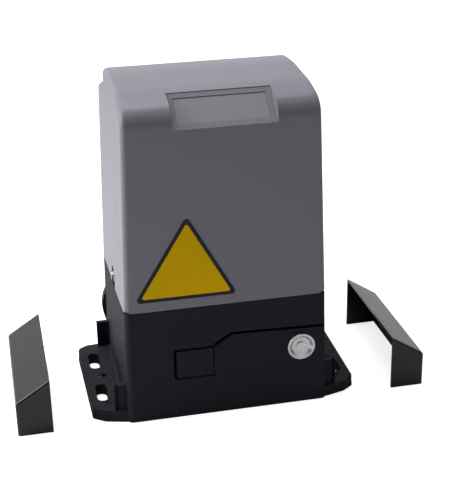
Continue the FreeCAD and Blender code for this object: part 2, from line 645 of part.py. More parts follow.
def make_gearbox_lid():
    inner_x = (-98.0, GEARBOX_RIGHT)
    plan = box(*inner_x, GEARBOX_FRONT, 84.0, GEARBOX_TOP + GASKET, LID_TOP)
    lid = plan.fuse(rod(16, (WORM_X, WORM_Y, 95), 12))
    lid = lid.fuse(tube(MOTOR_R + 3, MOTOR_R - 3, (WORM_X, WORM_Y, LID_TOP - 1), STACK[0] - LID_TOP + 1))
    gasket = box(*inner_x, GEARBOX_FRONT, 84.0, GEARBOX_TOP, GEARBOX_TOP + GASKET)
    hollow = box(inner_x[0] + 9, GEARBOX_RIGHT - 8, GEARBOX_FRONT + 8, 76, GEARBOX_TOP - 1, GEARBOX_TOP + 2)
    gasket = gasket.cut(hollow)
    screws = []
    for x, y in lid_screw_places():
        for_screw = rod(2.3, (x, y, 100), 20)
        lid = lid.cut(for_screw)
        gasket = gasket.cut(for_screw)
        screws.append(cap_screw(2.0, 3.5, 3.6, 18, (x, y, LID_TOP), Z_AXIS * -1))
    lid = lid.cut([rod(13, (WORM_X, WORM_Y, 98), 9), rod(8.2, (WORM_X, WORM_Y, 90), 40)])
    save("gearbox_lid", lid.removeSplitter())
    save("lid_gasket", gasket)
    save("lid_screws", Part.Compound(screws))
    plug = hex_socket(7.5, (GEARBOX_RIGHT, 52, 62), 5, X_AXIS)
    plug = plug.fuse(rod(4.9, (GEARBOX_RIGHT - 7, 52, 62), 7.5, X_AXIS))
    save("oil_plug", plug.removeSplitter())


# ---------------------------------------------------------------- motor
def make_motor():
    low, high = STACK
    stack = tube(MOTOR_R, ROTOR_R + AIR_GAP, (WORM_X, WORM_Y, low), high - low)
    slots = ring_of(box(WORM_X + 29, WORM_X + 43, WORM_Y - 2.2, WORM_Y + 2.2, low - 1, high + 1), 24,
                    V(WORM_X, WORM_Y, 0), Z_AXIS)
    save("stator_core", stack.cut(slots))
    coils = []
    for z in (low - 12, high):
        ring = tube(44, 28.5, (WORM_X, WORM_Y, z), 12)
        rims = [e for e in ring.Edges if abs(e.BoundBox.ZLength) < 0.01]
        coils.append(ring.makeFillet(3, rims))
    save("stator_windings", Part.Compound(coils))
    rotor = tube(ROTOR_R, 6, (WORM_X, WORM_Y, low), high - low)
    skew = ring_of(box(WORM_X + 22, WORM_X + 26, WORM_Y - 0.8, WORM_Y + 0.8, low - 1, high + 1), 20,
                   V(WORM_X, WORM_Y, 0), Z_AXIS)
    save("rotor_core", rotor.cut(skew))
    bell_top = high + 22
    bell = rod(MOTOR_R + 2, (WORM_X, WORM_Y, high), 22)
    bell = bell.cut(rod(MOTOR_R - 4, (WORM_X, WORM_Y, high - 1), 16))
    bell = bell.cut([rod(13, (WORM_X, WORM_Y, bell_top - 8), 9), rod(7.5, (WORM_X, WORM_Y, high), 30)])
    lugs = []
    bolts = []
    for i in range(4):
        angle = math.radians(45 + 90 * i)
        x = WORM_X + (MOTOR_R + 3) * math.cos(angle)
        y = WORM_Y + (MOTOR_R + 3) * math.sin(angle)
        lugs.append(rod(5, (x, y, high), 22))
        bolts.append(cap_screw(2.4, 4.2, 4.5, bell_top - LID_TOP, (x, y, bell_top), Z_AXIS * -1))
    bell = bell.fuse(lugs)
    vents = ring_of(slab([(WORM_X + 22, WORM_Y - 4, 2), (WORM_X + 40, WORM_Y - 4, 2),
                          (WORM_X + 40, WORM_Y + 4, 2), (WORM_X + 22, WORM_Y + 4, 2)],
                         on_xy(bell_top - 8), V(0, 0, 10)), 8, V(WORM_X, WORM_Y, 0), Z_AXIS)
    grown = Part.Compound([rod(2.4, (b.BoundBox.Center.x, b.BoundBox.Center.y, LID_TOP), 120) for b in bolts])
    save("motor_top_bell", bell.cut(vents).cut(grown).removeSplitter())
    parts["gearbox_lid"] = parts["gearbox_lid"].cut(grown)
    parts["stator_core"] = parts["stator_core"].cut(grown)
    save("motor_tie_bolts", Part.Compound(bolts))
    save("motor_top_bearing", bearing(13, 6, (WORM_X, WORM_Y, bell_top - 8), 8, Z_AXIS))
    hub = tube(11, 6, (WORM_X, WORM_Y, bell_top + 4), 14)
    disc = tube(34, 10, (WORM_X, WORM_Y, bell_top + 4), 2)
    blade = box(WORM_X + 10, WORM_X + 33, WORM_Y - 1, WORM_Y + 1, bell_top + 5, bell_top + 17)
    fan = hub.fuse([disc] + ring_of(blade, 9, V(WORM_X, WORM_Y, 0), Z_AXIS))
    save("cooling_fan", fan.removeSplitter())


# ---------------------------------------------------------------- electronics
def make_electronics():
    save("capacitor", rod(20, (72, 22, FLOOR), 78).fuse(rod(6, (72, 22, FLOOR + 77), 9)))
    clamp = tube(22.2, 20, (72, 22, 52), 14)
    foot = box(92, 99.4, 14, 30, 52, 66)
    save("capacitor_clamp", clamp.fuse(foot.cut(rod(20.5, (72, 22, 51), 16))).removeSplitter())
    core = box(40, 90, -50, -8, FLOOR, 60)
    window = box(52, 78, -51, -7, 24, 48)
    coil = box(52, 78, -58, 0, 24, 48)
    save("transformer", core.cut(window).fuse(coil).removeSplitter())
    tray = box(-80, 80, -60, -57, BLOCK_TOP, 284)
    for x in (-80, 77):
        tray = tray.fuse(box(x, x + 3, -68, -58, BLOCK_TOP + 4, 284))
    tray = tray.fuse(box(-60, -12, -60, -51, BLOCK_TOP, BLOCK_TOP + 4))
    pillars = [rod(3, (x, -64, z), 5, Y_AXIS) for x in (-70, 70) for z in (120, 270)]
    save("board_tray", tray.fuse(pillars).removeSplitter())
    save("circuit_board", box(-74, 74, -65.6, -64, 112, 278))
    relays = [box(x, x + 18, -81.6, -65.6, 226, 254) for x in (-64, -40, -16)]
    save("relays", Part.Compound(relays))
    blocks = []
    for x in (-66, -14, 36):
        block = box(x, x + 36, -79.6, -65.6, 116, 130)
        mouths = [box(x + 2 + 6 * i, x + 6 + 6 * i, -80, -72, 114, 122) for i in range(6)]
        blocks.append(block.cut(mouths))
    save("terminal_blocks", Part.Compound(blocks))
    fuse = box(30, 60, -72, -65.6, 238, 248).fuse(rod(3.2, (28, -74.5, 243), 34, X_AXIS))
    save("fuse_holder", fuse.removeSplitter())
    grommet = tube(18, 12, (60, 66, FLOOR), 4).fuse(tube(15, 12, (60, 66, 0.5), FLOOR))
    save("cable_grommet", grommet.removeSplitter())
    earth = cap_screw(2.5, 4.5, 3.5, 8.5, (86, 74, FLOOR), Z_AXIS * -1)
    save("earth_screw", earth)


def make_limit_switch():
    shell = box(-80, -46, 62, 84, LID_TOP, 160)
    shell = shell.cut(box(-78, -48, 64, 82, LID_TOP + 2, 158))
    wide = 12.0
    shell = shell.cut(box(LIMIT_X - wide, LIMIT_X + wide, 80, 90, LIMIT_Z - 7, LIMIT_Z + 7))
    save("limit_switch_body", shell)
    switches = [box(x, x + 11, 66, 74, 116, 126) for x in (-77, -60)]
    save("limit_microswitches", Part.Compound(switches))
    pivot = rod(4, (LIMIT_X, LIMIT_Y, 128), 29.6)
    stem = rod(3.2, (LIMIT_X, LIMIT_Y, LIMIT_Z), 12, Y_AXIS)
    vane = box(LIMIT_X - 2, LIMIT_X + 2, 67, LIMIT_Y, LIMIT_Z - 3, LIMIT_Z + 6)
    save("limit_lever", pivot.fuse([stem, vane]).removeSplitter())
    arm = rod(5, (LIMIT_X, LIMIT_Y + 12, LIMIT_Z), 36, Y_AXIS)
    arm = arm.fuse(Part.makeSphere(5, V(LIMIT_X, LIMIT_Y + 48, LIMIT_Z)))
    save("limit_spring_arm", arm.removeSplitter())


# ---------------------------------------------------------------- release lever and lock
def make_lever():
    lever = slab(lever_outline(), on_xz(-BODY_HALF_DEPTH), V(0, LEVER_BACK + BODY_HALF_DEPTH, 0))
    lever = lever.common(drafted_block(BODY_HALF_WIDTH, BASE_DRAFT, 0, 0, 0, 140, BODY_CORNER))
    corner = box(LEVER_LEFT - 1, LEVER_LEFT + 3, -91, -87, 40, 80)
    corner = corner.cut(rod(3, (LEVER_LEFT + 3, -87, 39), 42))
    lever = lever.cut(corner)
    # the face leans in towards its top edge; the hinge square stays upright behind a fine line
    lean = slab([(-92, 50, 0), (-BODY_HALF_DEPTH, 50, 0), (-BODY_HALF_DEPTH + LEVER_TILT, LEVER_KNEE[1], 0),
                 (-BODY_HALF_DEPTH + LEVER_TILT, 100, 0), (-92, 100, 0)], on_yz(HINGE_RIGHT), V(130, 0, 0))
    lever = lever.cut(lean)
    lever = lever.cut(box(LEVER_LEFT - 1, HINGE_RIGHT, -91, -89.5, 40, 80))
    lever = lever.cut(box(HINGE_RIGHT - 0.7, HINGE_RIGHT, -91, -88.4, 40, 80))
    lever = lever.fuse(rod(6, (PIN_X, PIN_Y, LEVER_BOTTOM), HINGE_TOP - LEVER_BOTTOM))
    hollow = box(-2, 58, -86, LEVER_BACK + 1, 52, 82)
    lever = lever.cut(hollow)
    lever = lever.cut(rod(PIN_R, (PIN_X, PIN_Y, 40), 50))
    lever = lever.cut(rod(11, (LOCK_X, -95, LOCK_Z), 30, Y_AXIS))
    lever = lever.cut(rod(LOCK_FACE_R + RUN, (LOCK_X, -95, LOCK_Z), 95 + LOCK_SEAT_Y, Y_AXIS))
    save("release_lever", lever)
    save("lever_hinge_pin", rod(PIN_R, (PIN_X, PIN_Y, 38.5), CAM_Z[1] - 38.5))
    save("release_cam", release_cam())
    make_lock()


def release_cam():
    """Spiral cam on top of the hinge pin: its radius grows evenly over a quarter turn."""
    steps = 12
    spiral = []
    for i in range(steps + 1):
        angle = math.radians(90 + 90.0 * i / steps)
        radius = CAM_SMALL + CAM_THROW * i / steps
        spiral.append(V(PIN_X + radius * math.cos(angle), PIN_Y + radius * math.sin(angle), CAM_Z[0]))
    curve = Part.BSplineCurve()
    curve.interpolate(spiral)
    centre = V(PIN_X, PIN_Y, CAM_Z[0])
    wire = Part.Wire([Part.LineSegment(centre, spiral[0]).toShape(), curve.toShape(),
                      Part.LineSegment(spiral[-1], centre).toShape()])
    cam = Part.Face(wire).extrude(V(0, 0, CAM_Z[1] - CAM_Z[0]))
    cam = cam.fuse(rod(6, (PIN_X, PIN_Y, CAM_Z[0]), CAM_Z[1] - CAM_Z[0]))
    return cam.cut(rod(PIN_R, (PIN_X, PIN_Y, CAM_Z[0] - 1), 10)).removeSplitter()


def make_lock():
    face = LOCK_FACE_Y
    housing = rod(LOCK_FACE_R, (LOCK_X, face, LOCK_Z), LOCK_SEAT_Y - face, Y_AXIS)
    rims = [e for e in housing.Edges if e.BoundBox.YMax < face + 0.01]
    housing = housing.makeFillet(0.9, rims)
    housing = housing.fuse(rod(11, (LOCK_X, face + 1, LOCK_Z), 15.4, Y_AXIS))
    dish = Part.makeCone(12.4, 9.8, 2.6, V(LOCK_X, face - 0.1, LOCK_Z), Y_AXIS)
    housing = housing.cut([dish, rod(5.6, (LOCK_X, face, LOCK_Z), 30, Y_AXIS)])
    save("lock_housing", housing.removeSplitter())
    save("lock_ring_nut", tube(14, 11, (LOCK_X, LEVER_BACK, LOCK_Z), 3, Y_AXIS))
    barrel_face = face + 2.2
    barrel = rod(5.55, (LOCK_X, barrel_face, LOCK_Z), TONGUE_Y[0] - barrel_face, Y_AXIS)
    square = box(LOCK_X - 3, LOCK_X + 3, TONGUE_Y[0] - 1, TONGUE_Y[1], LOCK_Z - 3, LOCK_Z + 3)
    keyhole = box(LOCK_X - 0.8, LOCK_X + 0.8, barrel_face - 1, barrel_face + 12, LOCK_Z - 3.2, LOCK_Z + 2.0)
    pin_hole = rod(0.8, (LOCK_X, barrel_face - 1, LOCK_Z + 3.9), 5, Y_AXIS)
    screw_hole = rod(1.5, (LOCK_X, TONGUE_Y[1] - 6, LOCK_Z), 7, Y_AXIS)
    save("lock_barrel", barrel.fuse(square).removeSplitter().cut([keyhole, pin_hole, screw_hole]))
    tongue = slab([(LOCK_X + 6, LOCK_Z - 6, 3), (LOCK_X + 6, LOCK_Z + 6, 3),
                   (LOCK_X - TONGUE_LENGTH, LOCK_Z + 5, 2), (LOCK_X - TONGUE_LENGTH, LOCK_Z - 5, 2)],
                  on_xz(TONGUE_Y[0]), V(0, TONGUE_Y[1] - TONGUE_Y[0], 0))
    save("lock_cam", tongue.cut(square))
    screw = rod(1.5, (LOCK_X, TONGUE_Y[1] - 5.5, LOCK_Z), 6, Y_AXIS)
    screw = screw.fuse(rod(4.6, (LOCK_X, TONGUE_Y[1], LOCK_Z), 1.6, Y_AXIS))
    save("lock_cam_screw", screw.removeSplitter())
    # shutter: flat on top, round below, on a small pin above the keyhole
    flap = rod(4.9, (LOCK_X, barrel_face - 0.95, LOCK_Z), 0.85, Y_AXIS)
    flap = flap.cut(box(LOCK_X - 6, LOCK_X + 6, barrel_face - 2, barrel_face + 1, LOCK_Z + 4.6, LOCK_Z + 9))
    pin = rod(0.75, (LOCK_X, barrel_face - 0.9, LOCK_Z + 3.9), 4.4, Y_AXIS)
    save("key_shutter", flap.fuse(pin).removeSplitter())


# ---------------------------------------------------------------- foot-bolt covers and small fasteners
def foot_cover():
    """Right-hand cover with its inner edge at x = 0: a shell open below and towards the body."""
    y0, y1 = COVER_Y
    outer = slab([(0, 0, 0), (COVER_WIDTH, 0, 0), (COVER_WIDTH, COVER_OUTER_HEIGHT, 5),
                  (0, COVER_INNER_HEIGHT, 0)], on_xz(y0), V(0, y1 - y0, 0))
    ends = []
    for e in outer.Edges:
        b = e.BoundBox
        if b.YLength < 0.01 and b.ZMax > 20 and b.ZMin > COVER_OUTER_HEIGHT - 9:
            ends.append(e)
    outer = outer.makeFillet(3.0, ends)
    w = COVER_WALL
    inner = slab([(-1, -1, 0), (COVER_WIDTH - w, -1, 0), (COVER_WIDTH - w, COVER_OUTER_HEIGHT - 1.3, 3),
                  (-1, COVER_INNER_HEIGHT - 2.1, 0)], on_xz(y0 + w), V(0, y1 - y0 - 2 * w, 0))
    cover = outer.cut(inner)
    cover = cover.fuse(box(5.5, 7.5, y1 - w - 0.6, y1 - w + 0.5, 2, 46))
    cover = cover.fuse(rod(2.0, (3.0, y0 + w - 0.6, 33), 8))
    return cover.removeSplitter()


def make_foot_covers():
    right = foot_cover()
    left = right.mirror(V(0, 0, 0), X_AXIS)
    right.translate(V(COVER_RIGHT_X, 0, 0))
    left.translate(V(COVER_LEFT_X, 0, 0))
    save("right_bolt_cover", right)
    save("left_bolt_cover", left)


def make_fasteners():
    grubs = []
    screws = []
    washers = []
    for sign in (-1, 1):
        grub = rod(5.0, (sign * LEVELLING_X, LEVELLING_Y, 0), FLANGE_THICKNESS - 0.6)
        grubs.append(grub.cut(hex_socket(3.0, (sign * LEVELLING_X, LEVELLING_Y, 6), 7, Z_AXIS)))
        axis = X_AXIS * -sign
        seat = sign * 102.3
        screws.append(cap_screw(2.0, 4.0, 2.2, 6, (seat + sign * 1.0, 0, 127.5), axis))
        start = min(seat, seat + sign * 1.0)
        washers.append(tube(5.2, 2.0, (start, 0, 127.5), 1.0, X_AXIS))
    save("levelling_screws", Part.Compound(grubs))
    save("cover_screws", Part.Compound(screws))
    save("cover_screw_washers", Part.Compound(washers))


def main():
    save("base_housing", make_base())
    make_hood()
    make_seal()
    make_gear_train()
    make_pinion()
    make_gearbox_lid()
    make_motor()
    make_electronics()
    make_limit_switch()
    make_lever()
    make_foot_covers()
    make_fasteners()
    os.makedirs("parts", exist_ok=True)
    for name, shape in parts.items():
        shape.exportStep("parts/" + name + ".step")
        print(name, len(shape.Solids), round(shape.Volume / 1000.0, 2), shape.isValid())


main()
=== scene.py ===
import json
import math

import bmesh
import bpy
from bpy.props import FloatProperty, FloatVectorProperty, PointerProperty
from bpy.types import Operator, Panel, PropertyGroup
from mathutils import Matrix, Vector


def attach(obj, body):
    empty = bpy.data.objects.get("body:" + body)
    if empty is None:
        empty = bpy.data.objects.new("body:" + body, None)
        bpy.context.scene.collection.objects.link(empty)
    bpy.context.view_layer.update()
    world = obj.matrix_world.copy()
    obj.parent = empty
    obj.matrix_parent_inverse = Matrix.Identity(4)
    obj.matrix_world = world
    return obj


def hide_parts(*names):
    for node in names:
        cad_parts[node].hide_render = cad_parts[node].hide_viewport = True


bl_info = {
    "name": "Sliding Gate Motor",
    "version": (1, 0, 0),
    "blender": (4, 5, 0),
    "location": "View3D > Sidebar > Gate Motor",
    "description": "Dresses the packed sliding gate motor with its finishes, small parts and studio",
    "category": "Object",
}

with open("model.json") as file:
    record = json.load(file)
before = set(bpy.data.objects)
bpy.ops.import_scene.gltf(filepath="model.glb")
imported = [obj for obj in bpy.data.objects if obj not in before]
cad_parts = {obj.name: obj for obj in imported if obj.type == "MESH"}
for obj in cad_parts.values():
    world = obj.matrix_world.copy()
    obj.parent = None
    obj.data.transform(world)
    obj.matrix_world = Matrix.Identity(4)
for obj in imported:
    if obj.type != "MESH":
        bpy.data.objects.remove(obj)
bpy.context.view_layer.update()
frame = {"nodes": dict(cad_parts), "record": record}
NODES = frame["nodes"]
MM = 0.001


# ---------------------------------------------------------------- properties
def colour(name, description, default):
    return FloatVectorProperty(name=name, description=description, subtype="COLOR", size=3,
                               min=0.0, max=1.0, default=default)


def length(name, description, default):
    return FloatProperty(name=name, description=description, subtype="DISTANCE", unit="LENGTH",
                         min=0.0, default=default, precision=5)


class GateMotorColours(PropertyGroup):
    hood: colour("Hood", "Moulded grey of the hood", (0.228, 0.221, 0.258))
    casting: colour("Casting", "Black coat on the base casting", (0.0265, 0.0249, 0.0325))
    plastic: colour("Plastic", "Black plastic of lever and covers", (0.0060, 0.0058, 0.0080))
    steel: colour("Steel", "Machined and plated steel", (0.60, 0.60, 0.61))
    chrome: colour("Chrome", "Satin chrome of the lock", (0.64, 0.63, 0.64))
    aluminium: colour("Aluminium", "Bare cast aluminium", (0.60, 0.60, 0.61))
    lamination: colour("Laminations", "Varnished motor steel", (0.20, 0.21, 0.23))
    copper: colour("Copper", "Enamelled winding wire", (0.62, 0.22, 0.08))
    bronze: colour("Bronze", "Worm wheel bronze", (0.62, 0.40, 0.17))
    brass: colour("Brass", "Brass plugs and screws", (0.72, 0.55, 0.24))
    rubber: colour("Rubber", "Seals and grommets", (0.014, 0.014, 0.015))
    board: colour("Board", "Solder mask of the circuit board", (0.012, 0.130, 0.045))
    terminal: colour("Terminals", "Terminal block plastic", (0.030, 0.240, 0.070))
    white: colour("White plastic", "Fan and capacitor can", (0.62, 0.62, 0.59))
    gasket: colour("Gasket", "Fibre gasket", (0.10, 0.065, 0.045))
    plate: colour("Plate", "Blank plate on the hood", (0.258, 0.253, 0.284))
    sticker: colour("Sticker field", "Plain yellow field of the sticker", (0.960, 0.570, 0.001))
    sticker_rim: colour("Sticker rim", "Dark rim of the sticker", (0.010, 0.010, 0.016))


class GateMotorSizes(PropertyGroup):
    edge: length("Edge radius", "Radius rolled onto sharp moulded edges", 0.7 * MM)
    metal_edge: length("Metal edge radius", "Radius on machined edges", 0.3 * MM)
    grain: length("Grain size", "Spacing of the moulded grain", 0.9 * MM)
    floor: length("Floor half width", "Half the width of the studio floor", 6.0)


def sizes():
    return bpy.context.scene.gate_motor_sizes


def colours():
    return bpy.context.scene.gate_motor_colours


# ---------------------------------------------------------------- shader node groups
def new_group(name, inputs, outputs):
    """Empty node group with float inputs (name, default) and named outputs."""
    group = bpy.data.node_groups.new(name, "ShaderNodeTree")
    for label, value in inputs:
        socket = group.interface.new_socket(label, in_out="INPUT", socket_type="NodeSocketFloat")
        socket.default_value = value
    for label in outputs:
        group.interface.new_socket(label, in_out="OUTPUT", socket_type="NodeSocketFloat")
    return group, group.nodes.new("NodeGroupInput"), group.nodes.new("NodeGroupOutput")


def link(tree, source, target):
    tree.links.new(source, target)


def noise(tree, vector, scale, detail=3.0, roughness=0.5):
    """Noise texture; scale may be a number or a socket."""
    node = tree.nodes.new("ShaderNodeTexNoise")
    node.inputs["Detail"].default_value = detail
    node.inputs["Roughness"].default_value = roughness
    link(tree, vector, node.inputs["Vector"])
    if isinstance(scale, (int, float)):
        node.inputs["Scale"].default_value = scale
    else:
        link(tree, scale, node.inputs["Scale"])
    return node.outputs["Fac"]


def maths(tree, operation, first, second=0.5, clamp=False):
    node = tree.nodes.new("ShaderNodeMath")
    node.operation = operation
    node.use_clamp = clamp
    for socket, value in zip(node.inputs, (first, second)):
        if isinstance(value, (int, float)):
            socket.default_value = value
        else:
            link(tree, value, socket)
    return node.outputs[0]


def remap(tree, value, low, high, to_low, to_high):
    node = tree.nodes.new("ShaderNodeMapRange")
    link(tree, value, node.inputs["Value"])
    for label, number in (("From Min", low), ("From Max", high), ("To Min", to_low),
                          ("To Max", to_high)):
        if isinstance(number, (int, float)):
            node.inputs[label].default_value = number
        else:
            link(tree, number, node.inputs[label])
    return node.outputs["Result"]


def object_coordinates(tree):
    return tree.nodes.new("ShaderNodeTexCoord").outputs["Object"]


def make_grain_group():
    """Moulded grain: a fine pebble height and a slow drift of gloss over the part."""
    group, given, result = new_group("Moulded Grain", (("Scale", 900.0), ("Drift Scale", 14.0)),
                                     ("Height", "Drift", "Speck"))
    place = object_coordinates(group)
    pebble = group.nodes.new("ShaderNodeTexVoronoi")
    pebble.feature = "SMOOTH_F1"
    link(group, place, pebble.inputs["Vector"])
    link(group, given.outputs["Scale"], pebble.inputs["Scale"])
    fine = noise(group, place, given.outputs["Scale"], 4.0, 0.6)
    height = maths(group, "MULTIPLY", maths(group, "ADD", pebble.outputs["Distance"], fine), 0.5)
    link(group, height, result.inputs["Height"])
    link(group, noise(group, place, given.outputs["Drift Scale"], 5.0, 0.55), result.inputs["Drift"])
    speck = noise(group, place, maths(group, "MULTIPLY", given.outputs["Scale"], 0.35), 2.0, 0.5)
    link(group, remap(group, speck, 0.66, 0.74, 0.0, 1.0), result.inputs["Speck"])
    return group


def make_wear_group():
    """Edge wear: a mask along exposed edges, broken up by noise."""
    group, given, result = new_group("Edge Wear", (("Amount", 0.4), ("Scale", 160.0)), ("Mask",))
    edge = group.nodes.new("ShaderNodeNewGeometry").outputs["Pointiness"]
    rim = remap(group, edge, 0.52, 0.60, 0.0, 1.0)
    broken = noise(group, object_coordinates(group), given.outputs["Scale"], 4.0, 0.7)
    mask = maths(group, "MULTIPLY", rim, remap(group, broken, 0.40, 0.62, 0.0, 1.0))
    link(group, maths(group, "MULTIPLY", mask, given.outputs["Amount"], True), result.inputs["Mask"])
    return group


def make_dust_group():
    """Dust: a faint film that lies on surfaces facing up."""
    group, given, result = new_group("Dust Film", (("Amount", 0.15),), ("Mask",))
    normal = group.nodes.new("ShaderNodeNewGeometry").outputs["Normal"]
    split = group.nodes.new("ShaderNodeSeparateXYZ")
    link(group, normal, split.inputs[0])
    up = remap(group, split.outputs["Z"], 0.35, 1.0, 0.0, 1.0)
    place = object_coordinates(group)
    patch = noise(group, place, 45.0, 6.0, 0.65)
    mask = maths(group, "MULTIPLY", up, remap(group, patch, 0.35, 0.75, 0.0, 1.0))
    link(group, maths(group, "MULTIPLY", mask, given.outputs["Amount"], True), result.inputs["Mask"])
    return group


def make_brushed_group():
    """Brushed metal: long fine scratches round or along an axis, given as a stretch per axis."""
    group, given, result = new_group("Brushed Metal",
                                     (("Stretch X", 40.0), ("Stretch Y", 1200.0), ("Stretch Z", 1200.0)),
                                     ("Height", "Tone"))
    combine = group.nodes.new("ShaderNodeCombineXYZ")
    for axis in "XYZ":
        link(group, given.outputs["Stretch " + axis], combine.inputs[axis])
    scaled = group.nodes.new("ShaderNodeVectorMath")
    scaled.operation = "MULTIPLY"
    link(group, object_coordinates(group), scaled.inputs[0])
    link(group, combine.outputs[0], scaled.inputs[1])
    lines = noise(group, scaled.outputs[0], 1.0, 3.0, 0.6)
    link(group, lines, result.inputs["Height"])
    link(group, noise(group, object_coordinates(group), 120.0, 4.0, 0.6), result.inputs["Tone"])
    return group


# ---------------------------------------------------------------- materials
def material(name):
    mat = bpy.data.materials.new(name)
    mat.use_nodes = True
    tree = mat.node_tree
    return mat, tree, tree.nodes["Principled BSDF"]


def place_group(tree, name, **values):
    node = tree.nodes.new("ShaderNodeGroup")
    node.node_tree = bpy.data.node_groups[name]
    for label, value in values.items():
        node.inputs[label.replace("_", " ")].default_value = value
    return node


def mix_colour(tree, factor, first, second):
    node = tree.nodes.new("ShaderNodeMix")
    node.data_type = "RGBA"
    link(tree, factor, node.inputs["Factor"])
    for socket, value in ((node.inputs["A"], first), (node.inputs["B"], second)):
        if isinstance(value, (tuple, list)):
            socket.default_value = (*value[:3], 1.0)
        else:
            link(tree, value, socket)
    return node.outputs["Result"]


def bump(tree, shader, height, strength, distance):
    node = tree.nodes.new("ShaderNodeBump")
    node.inputs["Strength"].default_value = strength
    node.inputs["Distance"].default_value = distance
    link(tree, height, node.inputs["Height"])
    link(tree, node.outputs["Normal"], shader.inputs["Normal"])


def shade(tone, factor):
    return tuple(min(1.0, c * factor) for c in tone)


def moulded(name, tone, gloss, grain_depth, wear=0.25, dust=0.06, coat=0.0, grain_scale=None, speck=0.0,
            specular=0.5, drift=0.10):
    """Moulded or coated surface: drifting colour and gloss, fine grain, worn edges and a little dust."""
    tone = tuple(tone)
    mat, tree, shader = material(name)
    scale = grain_scale or 1.0 / sizes().grain
    grain = place_group(tree, "Moulded Grain", Scale=scale)
    edge = place_group(tree, "Edge Wear", Amount=wear)
    film = place_group(tree, "Dust Film", Amount=dust)
    drifted = mix_colour(tree, grain.outputs["Drift"], shade(tone, 1 - drift), shade(tone, 1 + drift))
    if speck:
        specks = maths(tree, "MULTIPLY", grain.outputs["Speck"], speck)
        drifted = mix_colour(tree, specks, drifted, shade(tone, 2.2))
    worn = mix_colour(tree, edge.outputs["Mask"], drifted, tuple(0.30 * c + 0.16 for c in tone))
    dusty = mix_colour(tree, film.outputs["Mask"], worn, (0.42, 0.40, 0.38))
    link(tree, dusty, shader.inputs["Base Color"])
    low = maths(tree, "MULTIPLY_ADD", grain.outputs["Drift"], 0.16)
    low.node.inputs[2].default_value = gloss - 0.08
    rough = maths(tree, "MULTIPLY_ADD", film.outputs["Mask"], 0.5, True)
    link(tree, low, rough.node.inputs[2])
    link(tree, rough, shader.inputs["Roughness"])
    shader.inputs["Specular IOR Level"].default_value = specular
    shader.inputs["Coat Weight"].default_value = coat
    shader.inputs["Coat Roughness"].default_value = 0.12
    bump(tree, shader, grain.outputs["Height"], 0.35, grain_depth)
    return mat


def metal(name, tone, gloss, stretch=(40.0, 1200.0, 1200.0), depth=0.00002, wear=0.5):
    """Machined or plated metal: fine directional marks, cloudy tone and bright edges."""
    tone = tuple(tone)
    mat, tree, shader = material(name)
    lines = place_group(tree, "Brushed Metal", Stretch_X=stretch[0], Stretch_Y=stretch[1],
                        Stretch_Z=stretch[2])
    edge = place_group(tree, "Edge Wear", Amount=wear, Scale=300.0)
    cloudy = mix_colour(tree, lines.outputs["Tone"], shade(tone, 0.80), shade(tone, 1.08))
    worn = mix_colour(tree, edge.outputs["Mask"], cloudy, shade(tone, 1.35))
    link(tree, worn, shader.inputs["Base Color"])
    shader.inputs["Metallic"].default_value = 1.0
    rough = maths(tree, "MULTIPLY_ADD", lines.outputs["Height"], 0.22)
    rough.node.inputs[2].default_value = gloss - 0.11
    link(tree, rough, shader.inputs["Roughness"])
    bump(tree, shader, lines.outputs["Height"], 0.3, depth)
    return mat


def layered(name, tone, spacing, axis, gloss, metallic, contrast=0.45):
    """Stacked sheets or wound wire: fine even lines across one axis."""
    tone = tuple(tone)
    mat, tree, shader = material(name)
    split = tree.nodes.new("ShaderNodeSeparateXYZ")
    link(tree, object_coordinates(tree), split.inputs[0])
    phase = maths(tree, "MULTIPLY", split.outputs[axis], 2 * math.pi / spacing)
    wave = maths(tree, "MULTIPLY_ADD", maths(tree, "SINE", phase), 0.5)
    wave.node.inputs[2].default_value = 0.5
    patch = noise(tree, object_coordinates(tree), 90.0, 5.0, 0.6)
    level = maths(tree, "MULTIPLY", wave, patch)
    link(tree, mix_colour(tree, level, shade(tone, 1.0 - contrast), shade(tone, 1.0 + contrast)),
         shader.inputs["Base Color"])
    shader.inputs["Metallic"].default_value = metallic
    link(tree, remap(tree, patch, 0.0, 1.0, gloss - 0.1, gloss + 0.15), shader.inputs["Roughness"])
    bump(tree, shader, wave, 0.6, spacing * 0.25)
    return mat


def circuit_film(name, tone):
    """Solder mask over copper tracks, drawn as blocky routes."""
    tone = tuple(tone)
    mat, tree, shader = material(name)
    place = object_coordinates(tree)
    cells = tree.nodes.new("ShaderNodeTexVoronoi")
    cells.distance = "MANHATTAN"
    cells.feature = "F1"
    cells.inputs["Scale"].default_value = 190.0
    link(tree, place, cells.inputs["Vector"])
    track = remap(tree, cells.outputs["Distance"], 0.30, 0.34, 1.0, 0.0)
    broad = noise(tree, place, 60.0, 2.0, 0.4)
    mask = maths(tree, "MULTIPLY", track, remap(tree, broad, 0.48, 0.52, 0.0, 1.0))
    link(tree, mix_colour(tree, mask, tone, shade(tone, 2.1)), shader.inputs["Base Color"])
    link(tree, remap(tree, mask, 0.0, 1.0, 0.30, 0.22), shader.inputs["Roughness"])
    bump(tree, shader, mask, 0.5, 0.00004)
    return mat


